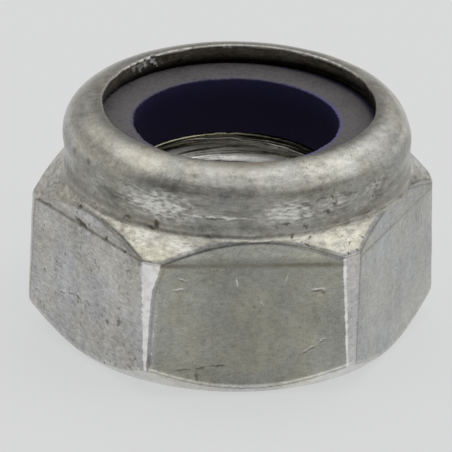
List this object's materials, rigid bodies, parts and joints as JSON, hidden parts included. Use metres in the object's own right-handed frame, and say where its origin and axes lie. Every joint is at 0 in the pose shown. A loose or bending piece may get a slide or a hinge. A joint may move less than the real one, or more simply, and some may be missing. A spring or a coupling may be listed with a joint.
{
  "type": "lock nut",
  "caption": "Hexagon lock nut of satin stainless steel with a rolled collar that traps a dark blue nylon ring, which grips the screw so that the nut cannot work loose.",
  "frame": {"origin": "centre of the bearing face, on the thread axis", "axes": "+Z along the thread axis from the bearing face to the rolled lip, X through two corners of the hexagon, Y through two flats"},
  "size_m": [0.0274, 0.024, 0.016],
  "materials": {
    "stainless_steel": "satin, tumbled and lightly stained stainless steel",
    "blue_nylon": "dark blue moulded nylon with a dull, slightly scuffed top face"
  },
  "bodies": {
    "root": {"nut_body": "stainless_steel", "nylon_insert": "blue_nylon"}
  },
  "joints": []
}
